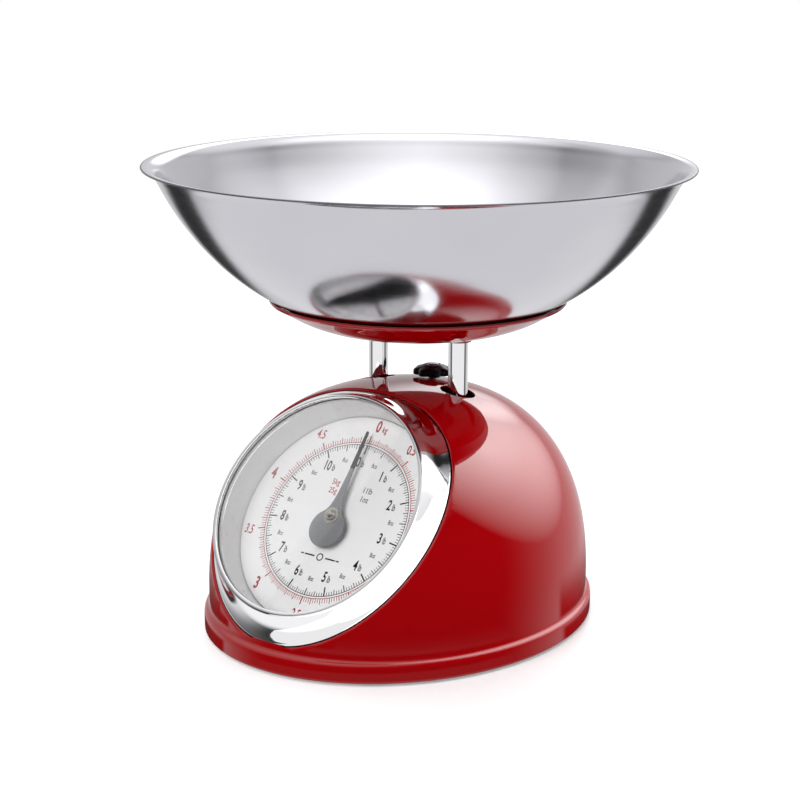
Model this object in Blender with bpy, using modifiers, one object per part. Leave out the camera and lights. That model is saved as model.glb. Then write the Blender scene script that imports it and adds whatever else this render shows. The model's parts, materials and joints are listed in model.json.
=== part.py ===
"""Mechanical kitchen scale: a domed body with a slanted dial, two posts, a platform and a removable bowl.

Metres, +Z up. The origin is on the floor under the axis of the bowl. The dial faces -Y and leans back.
"""

import math

import bmesh
import bpy
from mathutils import Matrix, Vector

MM = 0.001

# ---------------------------------------------------------------- driving dimensions, millimetres
BOWL_R = 130.0  # outer edge of the bowl's lip
BOWL_TOP = 218.5
BOWL_WALL = 0.8
# outer profile of the bowl (radius, height), bottom to lip
BOWL_OUTER = [
    (38.0, 143.0), (46.0, 143.9), (56.0, 147.5), (66.5, 153.3), (80.8, 162.2), (92.6, 171.6), (102.4, 181.6), (110.4, 191.6),
    (117.0, 201.6), (122.0, 210.8), (124.2, 215.0), (126.6, 217.3), (129.2, 217.9),
]

PLAT_R = 71.0
PLAT_TOP = 154.4
# platform dish (radius, height): its upper side follows the bowl
PLAT_OVER = [(38.0, 142.6), (46.0, 143.5), (56.0, 147.05), (66.5, 152.85), (70.6, 155.0)]
PLAT_UNDER = [(26.0, 140.9), (38.0, 141.2), (47.0, 142.3), (57.0, 145.9), (66.5, 151.1), (70.8, 153.5), (71.2, 154.5)]

POST_X = 24.0
POST_R = 4.75
POST_TOP = 138.4
POST_BOTTOM = 70.3
POST_HOLE_R = 8.4

# dome: an ellipse in plan, drawn in towards the top by a superellipse
DOME_A, DOME_B, DOME_C = 87.0, 99.6, 98.7
DOME_M = 2.42
DOME_Y, DOME_Z = -13.2, 15.8
SHELL_T = 0.9
SKIRT_A, SKIRT_B, SKIRT_Y = 88.6, 103.3, -12.9
SHELL_BOTTOM = 1.5
# skirt: height, and how far from the wall (0) to the skirt's own outline (1)
SKIRT = [(13.0, 0.0), (11.7, 0.06), (10.8, 0.3), (10.0, 0.68), (9.0, 0.93), (7.8, 1.0), (SHELL_BOTTOM, 1.0)]

DIAL_TILT = 38.0  # how far the dial's outward normal points above the horizon
DIAL_C = (0.0, -70.4, 65.4)  # dial axis where it meets the plane of the body's opening
LENS_R = 54.4
LIP_R = 53.7
RING_R = 55.75  # outside of the bezel's upper edge
PLATE_R = 52.9
PLATE_H = -10.4  # printed face, measured from the plane of the opening

TRAVEL_DEG = 360.0
PINION_TEETH = 10
MODULE = 0.4
PITCH_R = PINION_TEETH * MODULE / 2
MESH_H = -31.0  # where the rack meets the pinion, along the dial axis

KNOB_Y = 12.3
KNOB_R = 9.6
KNOB_Z = 114.7
KNOB_TOP = 120.2
# the body's opening leans back from the dial's plane by this much for each unit above its lower end
OPEN_LOW, OPEN_LEAN = -66.4, 0.022
SPRING_X = 9.0
SPRING_R = 3.8
SPRING_WIRE = 0.9

FRAME_PIN_Y = 46.0
UPPER_PIN_Z = 56.0  # carriage end of the upper lever, at rest
LOWER_PIN_Z = 36.0
LEVER_DROP = 8.0  # the levers slope down to the frame by this much at rest
PIN_R = 1.5
GAP = 0.3

T = math.radians(DIAL_TILT)
RACK_TRAVEL = 2 * math.pi * PITCH_R  # one turn of the pointer
TRAVEL = RACK_TRAVEL / math.cos(T)  # the platform sinks this far

# ---------------------------------------------------------------- scene and helpers
for old in list(bpy.data.objects):
    bpy.data.objects.remove(old)

parts = bpy.data.collections.new("kitchen_scale")
cutters = bpy.data.collections.new("cutters")
bpy.context.scene.collection.children.link(parts)
bpy.context.scene.collection.children.link(cutters)
cutters.hide_render = True

MATERIALS = {}


def material(name, colour, roughness, metallic):
    m = bpy.data.materials.new(name)
    m.use_nodes = True
    node = m.node_tree.nodes["Principled BSDF"]
    node.inputs["Base Color"].default_value = (*colour, 1)
    node.inputs["Roughness"].default_value = roughness
    node.inputs["Metallic"].default_value = metallic
    m.diffuse_color = (*colour, 1)
    MATERIALS[name] = m
    return m


material("red_enamel", (0.55, 0.0, 0.005), 0.12, 0.0)
material("stainless", (0.72, 0.72, 0.74), 0.22, 1.0)
material("chrome", (0.86, 0.86, 0.88), 0.05, 1.0)
material("black_plastic", (0.012, 0.012, 0.013), 0.35, 0.0)
material("rubber", (0.02, 0.02, 0.02), 0.8, 0.0)
material("white_plastic", (0.86, 0.86, 0.86), 0.35, 0.0)
material("dial_face", (0.93, 0.93, 0.93), 0.5, 0.0)
material("pointer_grey", (0.28, 0.29, 0.31), 0.35, 0.2)
material("clear", (0.95, 0.96, 0.97), 0.03, 0.0)
material("zinc_steel", (0.62, 0.62, 0.6), 0.35, 1.0)
material("brass", (0.75, 0.58, 0.3), 0.3, 1.0)
material("spring_steel", (0.4, 0.4, 0.42), 0.3, 1.0)


def empty(name, location=(0, 0, 0), rotation_x=0.0, parent=None):
    e = bpy.data.objects.new(name, None)
    parts.objects.link(e)
    e.empty_display_size = 0.01
    e.rotation_euler = (rotation_x, 0, 0)
    e.location = Vector(location) * MM
    e.parent = parent
    bpy.context.view_layer.update()
    return e


def link(name, mesh, mat=None, parent=None, cutter=False):
    o = bpy.data.objects.new(name, mesh)
    (cutters if cutter else parts).objects.link(o)
    if cutter:
        o.hide_render = True
        o.display_type = "WIRE"
    if mat:
        mesh.materials.clear()
        mesh.materials.append(MATERIALS[mat])
    if parent is not None:
        o.parent = parent
    return o


def world_to(o, matrix):
    """Moves an object whose mesh was made in world millimetres-as-metres so that its origin is its parent's."""
    o.data.transform(matrix.inverted())


def finish(bm, name):
    mesh = bpy.data.meshes.new(name)
    bmesh.ops.recalc_face_normals(bm, faces=bm.faces)
    bm.to_mesh(mesh)
    bm.free()
    return mesh


def box_mesh(name, x0, x1, y0, y1, z0, z1):
    bm = bmesh.new()
    bmesh.ops.create_cube(bm, size=1.0)
    for v in bm.verts:
        v.co = Vector((
            x0 + (v.co.x + 0.5) * (x1 - x0), y0 + (v.co.y + 0.5) * (y1 - y0), z0 + (v.co.z + 0.5) * (z1 - z0)
        )) * MM
    return finish(bm, name)


def cylinder_mesh(name, r, start, end, segments=20, r_end=None):
    """A round bar, or a cone, from start to end in millimetres."""
    a, b = Vector(start) * MM, Vector(end) * MM
    bm = bmesh.new()
    bmesh.ops.create_cone(
        bm, cap_ends=True, segments=segments, radius1=r * MM, radius2=(r if r_end is None else r_end) * MM,
        depth=(b - a).length,
    )
    turn = (b - a).to_track_quat("Z", "Y").to_matrix().to_4x4()
    bmesh.ops.transform(bm, matrix=Matrix.Translation((a + b) / 2) @ turn, verts=bm.verts)
    return finish(bm, name)


def evaluated_mesh(o, name):
    """The object's shape with its modifiers applied, as a mesh with welded points, in world space."""
    bpy.context.view_layer.update()
    graph = bpy.context.evaluated_depsgraph_get()
    mesh = bpy.data.meshes.new_from_object(o.evaluated_get(graph), depsgraph=graph)
    mesh.transform(o.matrix_world)
    bm = bmesh.new()
    bm.from_mesh(mesh)
    bmesh.ops.remove_doubles(bm, verts=bm.verts, dist=1e-6)
    bpy.data.meshes.remove(mesh)
    old = o.data
    bpy.data.objects.remove(o)
    if isinstance(old, bpy.types.Mesh):
        bpy.data.meshes.remove(old)
    else:
        bpy.data.curves.remove(old)
    return finish(bm, name)


def turned_mesh(name, profile, steps=48):
    """A closed loop of (radius, height) turned about Z. Points on the axis close the shape there."""
    mesh = bpy.data.meshes.new(name)
    on_axis = profile[0][0] == 0 and profile[-1][0] == 0
    edges = [(i, i + 1) for i in range(len(profile) - 1)]
    if not on_axis:
        edges.append((len(profile) - 1, 0))
    mesh.from_pydata([(r * MM, 0, z * MM) for r, z in profile], edges, [])
    o = bpy.data.objects.new(name, mesh)
    cutters.objects.link(o)
    s = o.modifiers.new("turn", "SCREW")
    s.steps = s.render_steps = steps
    s.use_merge_vertices = True
    s.merge_threshold = 0.00001
    return evaluated_mesh(o, name)


def plate_mesh(name, points, x0, x1):
    """A flat outline of (y, z) points, from x0 to x1."""
    curve = bpy.data.curves.new(name, "CURVE")
    curve.dimensions = "2D"
    curve.fill_mode = "BOTH"
    curve.extrude = (x1 - x0) / 2 * MM
    spline = curve.splines.new("POLY")
    spline.points.add(len(points) - 1)
    for p, (y, z) in zip(spline.points, points):
        p.co = (y * MM, z * MM, 0, 1)
    spline.use_cyclic_u = True
    o = bpy.data.objects.new(name, curve)
    cutters.objects.link(o)
    # local x, y, z of the curve are world y, z, x
    o.matrix_world = Matrix((
        (0, 0, 1, (x0 + x1) / 2 * MM), (1, 0, 0, 0), (0, 1, 0, 0), (0, 0, 0, 1)
    ))
    return evaluated_mesh(o, name)


def outline_mesh(name, points, z0, z1):
    """A flat outline of (x, y) points, from z0 to z1."""
    curve = bpy.data.curves.new(name, "CURVE")
    curve.dimensions = "2D"
    curve.fill_mode = "BOTH"
    curve.extrude = (z1 - z0) / 2 * MM
    spline = curve.splines.new("POLY")
    spline.points.add(len(points) - 1)
    for p, (x, y) in zip(spline.points, points):
        p.co = (x * MM, y * MM, 0, 1)
    spline.use_cyclic_u = True
    o = bpy.data.objects.new(name, curve)
    cutters.objects.link(o)
    o.location = (0, 0, (z0 + z1) / 2 * MM)
    return evaluated_mesh(o, name)


def boolean(target, tool, operation):
    m = target.modifiers.new(operation.lower(), "BOOLEAN")
    m.operation = operation
    m.solver = "EXACT"
    m.object = tool
    return m


def cut(target, mesh, matrix=None):
    tool = link(target.name + "_cutter", mesh, cutter=True)
    if matrix is not None:
        tool.matrix_world = matrix
    boolean(target, tool, "DIFFERENCE")
    return tool


def join(target, mesh, matrix=None):
    tool = link(target.name + "_piece", mesh, cutter=True)
    if matrix is not None:
        tool.matrix_world = matrix
    boolean(target, tool, "UNION")
    return tool


def smooth(o, angle=35):
    o.data.shade_smooth()
    o.data.set_sharp_from_angle(angle=math.radians(angle))


def put(name, mesh, mat, parent, local=False, angle=35):
    """Links a mesh made in world space under its parent, with the parent's origin as its own."""
    o = link(name, mesh, mat, parent)
    if not local:
        world_to(o, parent.matrix_world)
    smooth(o, angle)
    return o


def screw_mesh(name, head_r, head_h, r, length, segments=14):
    """A cheese-head screw, head down at z 0, shank upwards."""
    return turned_mesh(
        name,
        [(0, head_h + length), (r * 0.7, head_h + length), (r, head_h + length - 0.6), (r, head_h), (head_r, head_h),
         (head_r, 0.3), (head_r - 0.4, 0), (0, 0)],
        segments,
    )


# ---------------------------------------------------------------- frames of reference
root = empty("frame")
dial = empty("dial_axis", DIAL_C, math.pi / 2 - T, root)  # local x right, y up the dial, z outwards
carriage_axis = empty("load_axis", (0, 0, 0), 0, root)
bowl_axis = empty("bowl_axis", (0, 0, 0), 0, carriage_axis)
pointer_axis = empty("pointer_axis", (0, 0, 0), 0, dial)
knob_axis = empty("knob_axis", (0, KNOB_Y, 0), 0, root)
hanger_axis = empty("hanger_axis", (0, KNOB_Y, 0), 0, root)
LEVER_REST = -math.atan2(LEVER_DROP, FRAME_PIN_Y)
upper_axis = empty("upper_lever_axis", (0, FRAME_PIN_Y, UPPER_PIN_Z - LEVER_DROP), LEVER_REST, root)
lower_axis = empty("lower_lever_axis", (0, FRAME_PIN_Y, LOWER_PIN_Z - LEVER_DROP), LEVER_REST, root)
D = dial.matrix_world.copy()


def power(x, p):
    return max(x, 0.0) ** p


# ---------------------------------------------------------------- body shell
def dome_point(unit, inset=0.0):
    """A point of the unit sphere's upper half carried to the dome's surface, millimetres."""
    flat = math.hypot(unit.x, unit.y)
    rho, zeta = power(flat, 2 / DOME_M), power(unit.z, 2 / DOME_M)
    if flat > 1e-9:
        cx, cy = unit.x / flat, unit.y / flat
    else:
        cx = cy = rho = 0.0
    return Vector((
        (DOME_A - inset) * rho * cx, DOME_Y + (DOME_B - inset) * rho * cy, DOME_Z + (DOME_C - inset) * zeta
    ))


def dome_inside(p, inset=0.0):
    """Under 1 inside the dome's surface, moved in by inset."""
    plan = math.hypot(p.x / (DOME_A - inset), (p.y - DOME_Y) / (DOME_B - inset))
    up = max(p.z - DOME_Z, 0.0) / (DOME_C - inset)
    return plan**DOME_M + up**DOME_M


def open_height(y):
    """Height of the opening's plane over the dial's plane, at y on the dial."""
    return -OPEN_LEAN * (y - OPEN_LOW)


def opening_edge(count, inset):
    """Points (x, y) of the opening's plane where the dome, moved in by inset, meets it."""
    edge = []
    for i in range(count):
        angle = 2 * math.pi * i / count
        way = Vector((math.sin(angle), math.cos(angle), 0))
        low, high = 0.0, 90.0
        for _ in range(40):
            mid = (low + high) / 2
            if dome_inside((D @ ((way * mid + Vector((0, 0, open_height(way.y * mid)))) * MM)) / MM, inset) < 1:
                low = mid
            else:
                high = mid
        edge.append(way.xy * low)
    return edge


SEGMENTS = 44
bm = bmesh.new()
bmesh.ops.create_uvsphere(bm, u_segments=SEGMENTS, v_segments=24, radius=1.0)
bmesh.ops.delete(bm, geom=[v for v in bm.verts if v.co.z < -0.01], context="VERTS")
for v in bm.verts:
    v.co = dome_point(v.co)
ring = [e for e in bm.edges if e.is_boundary]
for height, out in SKIRT:
    made = bmesh.ops.extrude_edge_only(bm, edges=ring)["geom"]
    ring = [g for g in made if isinstance(g, bmesh.types.BMEdge)]
    a, b = DOME_A + (SKIRT_A - DOME_A) * out, DOME_B + (SKIRT_B - DOME_B) * out
    y = DOME_Y + (SKIRT_Y - DOME_Y) * out
    for v in {v for e in ring for v in e.verts}:
        turn = math.atan2((v.co.y - last_y) / last_b, v.co.x / last_a) if height != SKIRT[0][0] else math.atan2(
            (v.co.y - DOME_Y) / DOME_B, v.co.x / DOME_A
        )
        v.co = Vector((a * math.cos(turn), y + b * math.sin(turn), height))
    last_a, last_b, last_y = a, b, y
bmesh.ops.scale(bm, vec=(MM, MM, MM), verts=bm.verts)
bmesh.ops.recalc_face_normals(bm, faces=bm.faces)
shell = put("body_shell", finish(bm, "body_shell"), "red_enamel", root)
wall = shell.modifiers.new("wall", "SOLIDIFY")
wall.thickness = SHELL_T * MM
wall.offset = -1
wall.use_even_offset = True
cut(
    shell, box_mesh("opening", -120, 120, 0, 220, 0, 120),
    D @ Matrix.Translation((0, OPEN_LOW * MM, 0)) @ Matrix.Rotation(-math.atan(OPEN_LEAN), 4, "X"),
)
for side in (-1, 1):
    cut(shell, cylinder_mesh("post_hole", POST_HOLE_R, (side * POST_X, 0, 90), (side * POST_X, 0, 130), 32))
cut(shell, cylinder_mesh("knob_hole", 3.4, (0, KNOB_Y, 90), (0, KNOB_Y, 130), 20))


def skirt_frame(angle, inset):
    """A point on the skirt's outline, moved in, and the outward direction there."""
    c, s = math.cos(angle), math.sin(angle)
    out = Vector((c / SKIRT_A, s / SKIRT_B, 0)).normalized()
    return Vector((SKIRT_A * c, SKIRT_Y + SKIRT_B * s, 0)) - out * inset, out


def placed(point, out):
    """World matrix with local x along out, standing at point, for meshes made in metres."""
    side = Vector((-out.y, out.x, 0))
    return Matrix.Translation(point * MM) @ Matrix((out, side, Vector((0, 0, 1)))).transposed().to_4x4()


LUG_ANGLES = [math.radians(d) for d in (38, 142, 218, 322)]
for angle in LUG_ANGLES:
    p, out = skirt_frame(angle, 0)
    join(shell, box_mesh("lug", -13.0, -0.6, -5, 5, 3.8, 5.6), placed(p, out))
    cut(shell, cylinder_mesh("lug_hole", 1.8, (-8, 0, 0), (-8, 0, 9), 12), placed(p, out))

# ---------------------------------------------------------------- base plate, feet, base screws
BASE_IN = SHELL_T + 0.5
foot_spots = []
base = put(
    "base_plate",
    outline_mesh(
        "base_plate",
        [((SKIRT_A - BASE_IN) * math.cos(2 * math.pi * i / 44), SKIRT_Y + (SKIRT_B - BASE_IN) * math.sin(2 * math.pi * i / 44))
         for i in range(44)],
        2.2, 3.4,
    ),
    "zinc_steel", root,
)
for k, angle in enumerate(LUG_ANGLES):
    p, out = skirt_frame(angle, 0)
    at = p - out * 8
    cut(base, cylinder_mesh("screw_hole", 1.8, (at.x, at.y, 0), (at.x, at.y, 6), 12))
    mesh = screw_mesh("base_screw", 3.0, 1.4, 1.5, 7.2, 10)
    mesh.transform(Matrix.Translation(Vector((at.x, at.y, 0.5)) * MM))
    put("base_screw_%d" % (k + 1), mesh, "zinc_steel", root)
for k, d in enumerate((55, 125, 235, 305)):
    p, out = skirt_frame(math.radians(d), 15)
    cut(base, cylinder_mesh("foot_hole", 2.6, (p.x, p.y, 0), (p.x, p.y, 6), 14))
    mesh = turned_mesh(
        "foot",
        [(0, 5.6), (2.2, 5.6), (3.2, 3.75), (2.2, 3.75), (2.2, 1.9), (7.0, 1.9), (7.0, 0.8), (6.2, 0), (0, 0)], 16,
    )
    mesh.transform(Matrix.Translation(p * MM))
    foot_spots.append(p)
    put("foot_%d" % (k + 1), mesh, "rubber", root)

# ---------------------------------------------------------------- chassis
PLATE_X = 20.0
CH_T = 1.6
side_outline = [
    (8.6, 3.7), (54.0, 3.7), (54.0, 52.0), (50.0, 56.0), (42.0, 58.0), (24.0, 84.0), (19.6, 90.0), (19.6, 99.8),
    (8.6, 99.8),
]
chassis = put("chassis", plate_mesh("chassis", side_outline, PLATE_X, PLATE_X + CH_T), "zinc_steel", root)
join(chassis, plate_mesh("side", side_outline, -PLATE_X - CH_T, -PLATE_X))
join(chassis, box_mesh("bridge", -PLATE_X - 0.8, PLATE_X + 0.8, 5.8, 19.0, 98.0, 99.6))
for side in (-1, 1):
    x0, x1 = sorted((side * (PLATE_X + 0.4), side * (PLATE_X + 11)))
    join(chassis, box_mesh("flange", x0, x1, 9.2, 53.4, 3.8, 5.4))
    for y in (15, 47):
        cut(chassis, cylinder_mesh("flange_hole", 1.8, (side * 26, y, 0), (side * 26, y, 9), 12))
        cut(base, cylinder_mesh("chassis_hole", 1.8, (side * 26, y, 0), (side * 26, y, 9), 12))
cut(chassis, cylinder_mesh("bridge_hole", 2.5, (0, KNOB_Y, 90), (0, KNOB_Y, 105), 16))
for z in (UPPER_PIN_Z - LEVER_DROP, LOWER_PIN_Z - LEVER_DROP):
    cut(chassis, cylinder_mesh("pin_hole", PIN_R + GAP, (-30, FRAME_PIN_Y, z), (30, FRAME_PIN_Y, z), 16))
cut(chassis, cylinder_mesh("window", 9.0, (-30, 30, 24), (30, 30, 24), 20))
k = 0
for side in (-1, 1):
    for y in (15, 47):
        k += 1
        mesh = screw_mesh("chassis_screw", 3.0, 1.4, 1.5, 6.0, 10)
        mesh.transform(Matrix.Translation(Vector((side * 26, y, 0.5)) * MM))
        put("chassis_screw_%d" % k, mesh, "zinc_steel", root)


def pin(name, y, z, x0, x1, r=PIN_R, head=0.0, mat="zinc_steel", parent=root):
    """A round pin along X, with a head at its left end when asked for."""
    o = put(name, cylinder_mesh(name, r, (x0, y, z), (x1, y, z), 16), mat, parent)
    if head:
        tool = cylinder_mesh(name + "_head", head, (x0 - 0.9, y, z), (x0 + 0.1, y, z), 16)
        join(o, tool)
    return o


pin("upper_frame_pin", FRAME_PIN_Y, UPPER_PIN_Z - LEVER_DROP, -22.2, 23.2, head=2.6)
pin("lower_frame_pin", FRAME_PIN_Y, LOWER_PIN_Z - LEVER_DROP, -22.2, 23.2, head=2.6)

# ---------------------------------------------------------------- levers, drawn in their own frames, pivot at 0
LEVER = math.hypot(FRAME_PIN_Y, LEVER_DROP)


def lever(name, axis):
    """Two side arms joined by a web; the far end is at local y = -LEVER."""
    outline = []
    for centre, start in ((0.0, -90), (-LEVER, 90)):
        outline += [
            (centre + 4.0 * math.cos(math.radians(start + 30 * i)), 4.0 * math.sin(math.radians(start + 30 * i)))
            for i in range(7)
        ]
    arms = [plate_mesh(name, outline, x, x + 1.6) for x in (13.6, -15.2)]
    o = link(name, arms[0], "zinc_steel", axis)
    smooth(o)
    tools = [link(name + "_arm", arms[1], cutter=True), link(name + "_web", box_mesh("web", -14, 14, -26, -20, -0.8, 0.8), cutter=True)]
    for y, half in ((0, 0), (-LEVER, 0.7)):
        hole = bmesh.new()
        bmesh.ops.create_cone(
            hole, cap_ends=True, segments=16, radius1=(PIN_R + GAP) * MM, radius2=(PIN_R + GAP) * MM, depth=0.05
        )
        bmesh.ops.transform(hole, matrix=Matrix.Rotation(math.pi / 2, 4, "Y"), verts=hole.verts)
        for v in hole.verts:
            v.co.y += (y + (half if v.co.y > 0 else -half)) * MM
        tools.append(link(name + "_hole", finish(hole, name + "_hole"), cutter=True))
    for i, tool in enumerate(tools):
        tool.parent = axis
        boolean(o, tool, "UNION" if i < 2 else "DIFFERENCE")
    return o


lever("upper_lever", upper_axis)
lever("lower_lever", lower_axis)

# ---------------------------------------------------------------- load carriage: yoke, posts, platform
yoke = put("yoke", box_mesh("yoke", -29.5, 29.5, -7.5, 7.5, 67.0, 70.0), "zinc_steel", carriage_axis)
for x in (16.9, -18.5):
    join(yoke, box_mesh("leg", x, x + 1.6, -5.5, 5.5, 25.0, 67.6))
join(yoke, box_mesh("foot_bar", -18.1, 18.1, -5.2, 5.2, 24.4, 26.4))
join(yoke, box_mesh("hook_bar", -13.0, 13.0, 4.0, 16.6, 24.55, 26.25))
# forward arm: a plate in the y-z plane that ends at the rack's slot
S_PIN, H_PIN = 20.0, -33.0
rack_pin_at = (D @ Vector((0, S_PIN * MM, H_PIN * MM))) / MM
RY, RZ = rack_pin_at.y, rack_pin_at.z
ARM_X = 9.8
join(yoke, plate_mesh(
    "arm",
    [(-4.0, 67.6), (-4.0, 69.6), (-12.0, 69.6), (RY - 3.0, RZ + 4.0), (RY - 3.4, RZ), (RY, RZ - 3.4), (RY + 3.2, RZ - 2.0),
     (-12.0, 61.0), (-7.0, 61.0), (-7.0, 67.2)],
    ARM_X, ARM_X + 1.8,
))
for z in (UPPER_PIN_Z, LOWER_PIN_Z):
    cut(yoke, cylinder_mesh("pin_hole", PIN_R + GAP, (-30, 0, z), (30, 0, z), 16))
cut(yoke, cylinder_mesh("arm_hole", 1.0 + GAP, (0, RY, RZ), (20, RY, RZ), 14))
for side in (-1, 1):
    cut(yoke, cylinder_mesh("post_screw_hole", 2.0, (side * POST_X, 0, 60), (side * POST_X, 0, 75), 14))
    cut(yoke, cylinder_mesh("hook_hole", 1.9, (side * SPRING_X, KNOB_Y, 20), (side * SPRING_X, KNOB_Y, 30), 14))
    name = "left_post" if side < 0 else "right_post"
    post = put(
        name,
        turned_mesh(name, [
            (0, 82.0), (1.9, 82.0), (1.9, POST_BOTTOM), (POST_R - 0.4, POST_BOTTOM), (POST_R, POST_BOTTOM + 0.4),
            (POST_R, 138.0), (POST_R - 0.4, 138.4), (1.9, 138.4), (1.9, 129.0), (0, 129.0),
        ][::-1], 28),
        "chrome", carriage_axis,
    )
    post.data.transform(Matrix.Translation((side * POST_X * MM, 0, 0)))
    mesh = screw_mesh("post_screw", 3.4, 1.8, 1.6, 12.0, 10)
    mesh.transform(Matrix.Translation((side * POST_X * MM, 0, 64.9 * MM)))
    put(("left" if side < 0 else "right") + "_post_screw", mesh, "zinc_steel", carriage_axis)
for name, z in (("upper_yoke_pin", UPPER_PIN_Z), ("lower_yoke_pin", LOWER_PIN_Z)):
    pin(name, 0, z, -18.9, 19.4, head=2.6, parent=carriage_axis)
pin("rack_pin", RY, RZ, 5.2, 13.0, r=1.0, parent=carriage_axis)

platform = put(
    "platform",
    turned_mesh("platform", [(0, 142.6)] + PLAT_OVER + PLAT_UNDER[::-1] + [(0, 140.9)], 44),
    "red_enamel", carriage_axis,
)
for side in (-1, 1):
    x = side * POST_X
    join(platform, cylinder_mesh("collar", 6.3, (x, 0, 136.6), (x, 0, 141.6), 24))
    cut(platform, cylinder_mesh("socket", POST_R + GAP, (x, 0, 130), (x, 0, 138.7), 28))
    cut(platform, cylinder_mesh("screw_recess", 4.0, (x, 0, 140.5), (x, 0, 146), 18))
    cut(platform, cylinder_mesh("screw_way", 1.9, (x, 0, 130), (x, 0, 146), 12))
    mesh = screw_mesh("platform_screw", 3.6, 1.5, 1.6, 8.0, 10)
    mesh.transform(Matrix.Translation((x * MM, 0, 142.3 * MM)) @ Matrix.Rotation(math.pi, 4, "X"))
    put(("left" if side < 0 else "right") + "_platform_screw", mesh, "zinc_steel", carriage_axis)

# ---------------------------------------------------------------- bowl
inner = []
for i, (r, z) in enumerate(BOWL_OUTER):
    before, after = BOWL_OUTER[max(i - 1, 0)], BOWL_OUTER[min(i + 1, len(BOWL_OUTER) - 1)]
    along = Vector((after[0] - before[0], after[1] - before[1])).normalized()
    inner.append((r - along.y * BOWL_WALL, z + along.x * BOWL_WALL))
lip = [(130.0, 218.0), (130.0, 218.6)]
bowl = put(
    "bowl",
    turned_mesh("bowl", [(0, 143.0 + BOWL_WALL)] + inner + lip[::-1] + BOWL_OUTER[::-1] + [(0, 143.0)], 48),
    "stainless", bowl_axis,
)

# ---------------------------------------------------------------- dial: cup, plate, lens, bezel, bracket, bushes
CUP_R = 53.3
CUP_FLOOR = -13.0


def turned_here(name, profile, steps, mat, parent):
    o = link(name, turned_mesh(name, profile, steps), mat, parent)
    smooth(o)
    return o


cup = turned_here("dial_cup", [
    (3.9, CUP_FLOOR), (CUP_R, CUP_FLOOR), (CUP_R, 5.9), (CUP_R + 1.1, 5.9), (CUP_R + 1.1, CUP_FLOOR - 1.2),
    (3.9, CUP_FLOOR - 1.2),
], 44, "white_plastic", dial)
plate = turned_here("dial_plate", [
    (3.9, PLATE_H), (PLATE_R, PLATE_H), (PLATE_R, PLATE_H - 0.8), (3.9, PLATE_H - 0.8),
], 44, "dial_face", dial)
lens = turned_here("lens", [
    (0, 8.0), (LENS_R - 0.3, 8.0), (LENS_R, 7.7), (LENS_R, 6.5), (0, 6.5),
], 48, "clear", dial)

EDGE = 48
outer = opening_edge(EDGE, SHELL_T + 0.5)
# each row: how far from the opening's edge (0) to the inner lip (1), and its height
profile = [
    (0.0, -0.5), (0.0, 0.5), (0.14, 0.75), (0.30, 1.35), (0.46, 2.3), (0.62, 3.7), (0.76, 5.4), (0.88, 7.2), (0.97, 8.6),
    (1.0, 9.1),
]
inner_side = [
    (LIP_R, 9.2), (LIP_R, 8.4), (LENS_R + 0.4, 8.4), (LENS_R + 0.4, 6.0), (LENS_R + 1.7, 3.4), (LENS_R + 3.4, 1.4),
]
bm = bmesh.new()
loops = []
for share, h in profile:
    loops.append([
        bm.verts.new(((p * (1 - share) + p.normalized() * RING_R * share).to_3d() + Vector((0, 0, h + open_height(p.y) * (1 - share)))) * MM)
        for p in outer
    ])
for r, h in inner_side[:-1]:
    loops.append([bm.verts.new(((p.normalized() * r).to_3d() + Vector((0, 0, h))) * MM) for p in outer])
for share, radius, h in ((0.5, LENS_R + 2.6, 0.3), (0.9, LENS_R, -0.5)):
    loops.append([
        bm.verts.new(((p * share + p.normalized() * radius * (1 - share)).to_3d() + Vector((0, 0, h + open_height(p.y) * share))) * MM)
        for p in outer
    ])
for one, two in zip(loops, loops[1:] + loops[:1]):
    for i in range(EDGE):
        j = (i + 1) % EDGE
        bm.faces.new((one[i], one[j], two[j], two[i]))
bezel = link("bezel_ring", finish(bm, "bezel_ring"), "chrome", dial)
smooth(bezel, 40)

bracket = link("dial_bracket", box_mesh("dial_bracket", -14.0, 14.0, -5.0, 3.0, MESH_H - 6.0, MESH_H - 4.4), "zinc_steel", dial)
smooth(bracket)


def dial_join(target, mesh, operation="UNION"):
    tool = link(target.name + "_tool", mesh, cutter=True)
    tool.parent = dial
    boolean(target, tool, operation)


for side in (-1, 1):
    x0, x1 = sorted((side * 12.3, side * 13.8))
    dial_join(bracket, box_mesh("bracket_leg", x0, x1, -4.7, 2.7, MESH_H - 5.6, CUP_FLOOR - 2.0))
    x0, x1 = sorted((side * 12.6, side * 22.0))
    dial_join(bracket, box_mesh("bracket_ear", x0, x1, -4.4, 2.4, CUP_FLOOR - 3.1, CUP_FLOOR - 1.5))
dial_join(bracket, box_mesh("rack_guide", 7.5, 8.9, -4.5, 2.5, MESH_H - 5.2, MESH_H + 1.6))
dial_join(bracket, cylinder_mesh("rear_hole", 2.3, (0, 0, -50), (0, 0, -30), 18), "DIFFERENCE")
for side in (-1, 1):
    x = side * 18.0
    dial_join(bracket, cylinder_mesh("ear_hole", 1.4, (x, -1, -25), (x, -1, -10), 12), "DIFFERENCE")
    tool = cylinder_mesh("cup_hole", 1.4, (x, -1, -25), (x, -1, -9), 12)
    dial_join(cup, tool, "DIFFERENCE")
    o = link("bracket_screw_%d" % (1 if side < 0 else 2), screw_mesh("bracket_screw", 2.4, 1.2, 1.1, 3.9, 10), "zinc_steel", dial)
    o.data.transform(Matrix.Translation(Vector((x, -1, CUP_FLOOR - 4.6)) * MM))
    smooth(o)

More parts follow.
